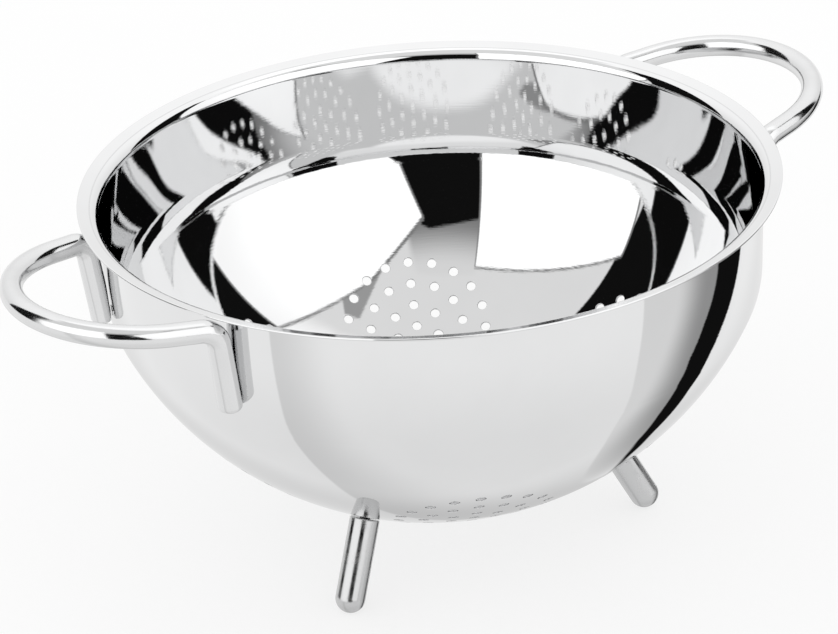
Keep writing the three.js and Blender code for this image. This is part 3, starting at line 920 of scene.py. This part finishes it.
settle(bowl_piece, bowl_steel(), "bowl")
rod_finish = rod_steel("polished_rod", **ROD_LOOK)
for piece, solid in zip(handle_pieces, ("handle_right", "handle_left")):
    settle(piece, rod_finish, solid)
foot_finish = rod_steel("polished_peg", **PEG_LOOK)
for piece, solid in zip(foot_pieces, ("foot_back", "foot_left", "foot_right")):
    settle(piece, foot_finish, solid)
print("pieces dressed:", [p.name for p in (bowl_piece, *handle_pieces, *foot_pieces)])

# %% [markdown]
# ## The camera
# The picture was taken from a little above the rim with a long lens. The camera's place is given by its
# turn about the bowl, its rise, its distance from the middle of the rim and the pixel at which that middle
# shows.

# %% Camera
PICTURE = np.array([838, 634])
FOCAL_PIXELS = 3732.31
VIEW_TURN = math.radians(33.03)
VIEW_RISE = 0.430992
VIEW_ROLL = 0.057745
VIEW_DISTANCE = 1324.16
RIM_MIDDLE_PIXEL = np.array([428.77, 177.50])
SENSOR = 36.0


def view_axes():
    """The picture's right, its down and the line of sight, as rows, before the bowl's turn is taken off.
    The axes look at the middle of the rim, roll, and are then swung by the small rotation that takes
    straight ahead to the ray through the middle's pixel. The eye lies back along the sight."""
    sight = np.array([0.0, math.cos(VIEW_RISE), -math.sin(VIEW_RISE)])
    right = np.array([1.0, 0.0, 0.0])
    down = np.cross(sight, right)
    c, s = math.cos(VIEW_ROLL), math.sin(VIEW_ROLL)
    level = np.stack([c * right + s * down, -s * right + c * down, sight])
    ray = unit(np.append((RIM_MIDDLE_PIXEL - PICTURE / 2) / FOCAL_PIXELS, 1.0))
    v = np.cross([0.0, 0.0, 1.0], ray)
    k = np.array([[0.0, -v[2], v[1]], [v[2], 0.0, -v[0]], [-v[1], v[0], 0.0]])
    swing = np.eye(3) + k + k @ k / (1 + ray[2])
    return swing @ level, -VIEW_DISTANCE * sight


axes, eye = view_axes()
axes = about_axis(axes, -VIEW_TURN)
eye = about_axis(eye[None], -VIEW_TURN)[0] + RIM_TOP * UP
lens = bpy.data.cameras.new("long_lens")
lens.sensor_fit = "HORIZONTAL"
lens.sensor_width = SENSOR
lens.lens = FOCAL_PIXELS / PICTURE[0] * SENSOR
camera = bpy.data.objects.new("camera", lens)
pose = np.eye(4)
pose[:3, :3] = np.stack([axes[0], -axes[1], -axes[2]], axis=-1)
pose[:3, 3] = eye * MILLIMETRE
camera.matrix_world = Matrix(pose.tolist())
bpy.context.scene.collection.objects.link(camera)
bpy.context.scene.camera = camera
print("camera at", np.round(pose[:3, 3], 3), f"m, lens {lens.lens:.1f} mm")

# %% [markdown]
# ## The room that the steel shows
# A bright bowl is photographed between large white lamps with dark gaps left on purpose, because the black
# shapes give the steel its form. The world is drawn the same way, as a function of direction: each lamp is
# a patch of the sky bounded by straight edges, each gap a dark patch, and the table and back wall are pale.
# Directions are given as the picture has them: 0 degrees is towards the camera, and positive is to its
# right. The camera itself sees plain white, and plain surfaces such as the floor are lit by an even white
# sky.

# %% Helpers for the room
world = bpy.data.worlds.new("studio")
bpy.context.scene.world = world
world.use_nodes = True
room = world.node_tree
room.nodes.clear()
heading = node(room, "ShaderNodeTexCoord").outputs["Generated"]


def towards(turn_degrees, rise_degrees):
    """Unit vector at a turn from the camera's side, positive to the picture's right, and a rise."""
    a, e = np.radians(turn_degrees), np.radians(rise_degrees)
    seen = np.stack([np.sin(a) * np.cos(e), -np.cos(a) * np.cos(e), np.sin(e) * np.ones_like(a)], axis=-1)
    return about_axis(seen, -VIEW_TURN)


def ahead(vector):
    """How far the heading lies towards a vector, as a cosine."""
    inputs = {0: heading, 1: vector.tolist()}
    return node(room, "ShaderNodeVectorMath", inputs, operation="DOT_PRODUCT").outputs["Value"]


def patch(corners, softness=0.4):
    """1 inside a patch of the sky whose edges are straight: each edge is the plane through the bowl's middle
    and two corners next to each other, and the heading has to lie on the inner side of all the planes. The
    corners go round the outline, which has no hollow side."""
    points = np.stack([towards(*c) for c in corners])
    planes = unit(np.cross(points, np.roll(points, -1, axis=0)))
    inward = np.sign((planes * unit(points.mean(axis=0))).sum(axis=1))
    blur = math.sin(math.radians(softness))
    masks = [spread_over(room, ahead(p * s), -blur, blur, 0.0, 1.0) for p, s in zip(planes, inward)]
    whole = masks[0]
    for mask in masks[1:]:
        whole = math_node(room, "MULTIPLY", whole, mask)
    return whole


def disc(turn_degrees, rise_degrees, radius, softness=0.4):
    """1 inside a round patch of the sky, from the cosine of the angle to its middle."""
    inner, outer = (math.cos(math.radians(radius + k * softness)) for k in (-1, 1))
    return spread_over(room, ahead(towards(turn_degrees, rise_degrees)), outer, inner, 0.0, 1.0)


def laid_over(below, value, mask):
    """A value, or a socket, laid over what is below wherever the mask is 1."""
    inputs = {"Factor": mask, 2: below, 3: value}
    return node(room, "ShaderNodeMix", inputs, data_type="FLOAT").outputs[0]


# %% [markdown]
# The table is pale, and a little darker behind the bowl and straight below it. At the left is a pale disc
# in a grey ring that fades out. At the right lies a soft shade, in it a dark field, and over most of that a
# pale field. What is left of the dark field is an arc, which the outside of the bowl shows as a black band.

# %% Helpers for rises and fades
HORIZON = 0.02
TABLE_EDGE = 0.05
rise = ahead(UP)


def times(first, second):
    """Product of two values or sockets of the room."""
    return math_node(room, "MULTIPLY", first, second)


def by_rise(low, high, at_low, at_high):
    """A value that changes smoothly with the heading's rise between two rises in degrees."""
    sines = (math.sin(math.radians(a)) for a in (low, high))
    return spread_over(room, rise, *sines, at_low, at_high)


def below_horizon(mask):
    """The part of a mask that lies on the table."""
    return times(mask, spread_over(room, rise, -TABLE_EDGE, -HORIZON, 1.0, 0.0))


def fading(turn_degrees, rise_degrees, outer, inner, at_outer, at_inner):
    """A value that changes smoothly with the angle from a direction."""
    cosines = (math.cos(math.radians(a)) for a in (outer, inner))
    return spread_over(room, ahead(towards(turn_degrees, rise_degrees)), *cosines, at_outer, at_inner)


# %% Table
TABLE_LIGHT = 1.02
GREY_LIGHT = 0.81
CEILING_LIGHT = 0.89
DARK = 0.006
DARKER_BEHIND = 0.8
DARKER_BELOW = 0.885
SHADE_LIGHT = (0.82, 0.34)
LEFT_DISC = (-122.4, -2.9)
LEFT_RADIUS = 64.8
DARK_FIELD = [
    (180, -25), (180, -8), (150, -4), (121, -8), (113, -35), (113, -42),
    (119, -47), (136, -51), (151, -50), (161, -46), (170, -39),
]
PALE_FIELD = [
    (186, -6), (150, -2), (140, -6), (129, -37), (129, -40),
    (131, -42), (139, -45), (155, -46), (164, -43), (186, -20),
]
behind = fading(180, -40, 36, 5, 1.0, DARKER_BEHIND)
table_dimming = times(behind, by_rise(-80, -25, DARKER_BELOW, 1.0))
pale_table = times(table_dimming, TABLE_LIGHT)
grey_table = times(table_dimming, GREY_LIGHT)
light = spread_over(room, rise, -HORIZON, HORIZON, pale_table, CEILING_LIGHT)
shade = fading(132.0, -28.8, 35.0, 18.6, *SHADE_LIGHT)
for field, mask in (
    (grey_table, fading(*LEFT_DISC, 85, LEFT_RADIUS, 0.0, 1.0)),
    (pale_table, disc(*LEFT_DISC, LEFT_RADIUS)),
    (shade, disc(125.0, -13.6, 47.7)),
    (DARK, patch(DARK_FIELD)),
    (pale_table, patch(PALE_FIELD)),
):
    light = laid_over(light, field, below_horizon(mask))
print("table drawn with its shades")

# %% [markdown]
# The wall behind the bowl gets brighter upwards. It is bounded by turns from its middle, so the heading's
# part towards that middle is divided by its level length. Between the wall and the lamps the room is dark
# at both sides, and so is the gap between the lamps, in which the camera stands. Above the gap the room gets
# brighter.

# %% Back of the room and its dark sides
BACK_TURN = 173
BACK_EDGES = (92, 76)
BACK_LIGHT = (0.975, 1.19)
TOP_LIGHT = 0.2
OVER_ONE = 1.0001
RIGHT_SIDE = [(91, -2), (100, 45), (110, 46), (122, -2)]
LEFT_SIDE = [(-122, -2), (-112, 47), (-90, 54), (-87, 30), (-78, -2)]
level_length = math_node(room, "SQRT", math_node(room, "SUBTRACT", OVER_ONE, times(rise, rise)))
backwards = math_node(room, "DIVIDE", ahead(towards(BACK_TURN, 0)), level_length)
back_light = by_rise(2, 48, *BACK_LIGHT)
back_light = math_node(room, "ADD", back_light, by_rise(52, 66, 0.0, TOP_LIGHT))
in_back = spread_over(room, backwards, *(math.cos(math.radians(a)) for a in BACK_EDGES), 0.0, 1.0)
above = spread_over(room, rise, -HORIZON, HORIZON, 0.0, 1.0)
not_high = by_rise(57, 64, 1.0, 0.0)
low_back = times(times(in_back, above), not_high)
high_back = times(disc(160, 40, 46, 4), above)
light = laid_over(light, back_light, math_node(room, "MAXIMUM", low_back, high_back))
light = laid_over(light, DARK, patch(RIGHT_SIDE))
light = laid_over(light, DARK, patch(LEFT_SIDE))
print("back of the room drawn")

# %% Lamps, their frames and the gap between them
LEFT_LAMP = [(-19, -2), (-19.6, 17), (-25.6, 57.1), (-88.9, 30), (-78, -2)]
RIGHT_LAMP = [
    (17, -2), (2.2, 44.4), (6.7, 50), (26.7, 55.6),
    (60, 58.9), (86.7, 56.7), (100, 45), (91.5, -2),
]
LAMP_GAP = [(-24, -2), (-22.7, 40.7), (1.1, 44.9), (17, 36), (18, -2)]
ABOVE_GAP = [(-27, 38), (-27, 60), (12, 60), (12, 38)]
DIM_WEDGE = [(30, 55), (67.8, 64.4), (71, 60), (60, 55)]
ABOVE_GAP_LIGHT = (0.26, 0.85)
WEDGE_LIGHT = 0.4
FRAME_LIGHT = 0.25
FRAME_WIDTH = 0.9
FRAME_BLUR = 0.3
LEFT_CLOTH = (1.32, 1.55)
RIGHT_CLOTH = (1.2, 1.42)
ABOVE_GAP_BLUR = 1.5
light = laid_over(light, by_rise(42, 59, *ABOVE_GAP_LIGHT), patch(ABOVE_GAP, ABOVE_GAP_BLUR))
light = laid_over(light, WEDGE_LIGHT, patch(DIM_WEDGE))
light = laid_over(light, DARK, patch(LAMP_GAP))


def framed_lamp(below, corners, strength):
    """A lamp's bright cloth inside a thin dark frame: the same patch twice, the first grown from its
    middle."""
    middle = np.mean(corners, axis=0)
    outwards = unit(np.array(corners) - middle)
    frame_edge = laid_over(below, FRAME_LIGHT, patch(np.array(corners) + FRAME_WIDTH * outwards, FRAME_BLUR))
    return laid_over(frame_edge, strength, patch(corners, FRAME_BLUR))


light = framed_lamp(light, LEFT_LAMP, fading(-50, 25, 45, 10, *LEFT_CLOTH))
light = framed_lamp(light, RIGHT_LAMP, fading(35, 35, 55, 12, *RIGHT_CLOTH))
print(len(room.nodes), "nodes in the room")

# %% What each kind of ray sees
ray_kind = node(room, "ShaderNodeLightPath").outputs
mirrored = math_node(room, "MAXIMUM", ray_kind["Is Glossy Ray"], ray_kind["Is Transmission Ray"])
EVEN_SKY = 1.05
strength = laid_over(EVEN_SKY, light, mirrored)
strength = laid_over(strength, 1.0, ray_kind["Is Camera Ray"])
background = node(room, "ShaderNodeBackground", {"Color": (1.0, 1.0, 1.0, 1.0), "Strength": strength})
sky = node(room, "ShaderNodeOutputWorld", {"Surface": background.outputs[0]})
print("sky joined to", sky.name)

# %% [markdown]
# ## The floor
# A wide pale floor carries the soft shadow. The steel doesn't mirror the floor itself but the pale table
# that is part of the drawn room, because that has the bright and dark fields which the photographer put
# there.

# %% Floor
FLOOR_HALF = 4.0
PAPER_TINTS = ((0.93, 0.93, 0.93, 1.0), (0.945, 0.945, 0.945, 1.0))
PAPER_ROUGHNESS = 0.9
PAPER_GLOSS = 0.1
MOTTLE_SCALE = 6.0
WHITE_SHARE = 0.72


def floor_paper():
    """Matt white paper with a barely visible mottle. For the camera it is mixed with plain white, which
    keeps the shadow but lets the rest of the floor run into the white background."""
    material = bpy.data.materials.new("white_paper")
    tree, shader = new_tree(material)
    place = node(tree, "ShaderNodeTexCoord").outputs["Object"]
    mottle = spread_over(tree, noise(tree, place, MOTTLE_SCALE), 0.2, 0.8, 0.0, 1.0)
    inputs = {"Factor": mottle, 6: PAPER_TINTS[0], 7: PAPER_TINTS[1]}
    tint = node(tree, "ShaderNodeMix", inputs, data_type="RGBA").outputs[2]
    feed(tree, shader, {"Base Color": tint, "Roughness": PAPER_ROUGHNESS, "Specular IOR Level": PAPER_GLOSS})
    white = node(tree, "ShaderNodeEmission", {"Color": (1.0, 1.0, 1.0, 1.0), "Strength": 1.0})
    camera_ray = node(tree, "ShaderNodeLightPath").outputs["Is Camera Ray"]
    seen = math_node(tree, "MULTIPLY", camera_ray, WHITE_SHARE)
    both = node(tree, "ShaderNodeMixShader", {0: seen, 1: shader.outputs["BSDF"], 2: white.outputs[0]})
    output = next(n for n in tree.nodes if n.type == "OUTPUT_MATERIAL")
    tree.links.new(both.outputs[0], output.inputs["Surface"])
    return material


corners = FLOOR_HALF * np.array([[-1, -1, 0], [1, -1, 0], [1, 1, 0], [-1, 1, 0]], dtype=float)
floor_mesh = bpy.data.meshes.new("floor")
floor_mesh.from_pydata(corners.tolist(), [], [(0, 1, 2, 3)])
floor = bpy.data.objects.new("floor", floor_mesh)
floor.data.materials.append(floor_paper())
floor.visible_glossy = False
bpy.context.scene.collection.objects.link(floor)
print("floor", 2 * FLOOR_HALF, "m wide")

# %% [markdown]
# ## Finish
# The picture is shown with the plain Standard transform, so a colour looks as it is written.

# %% Settings
bpy.context.scene.view_settings.view_transform = "Standard"
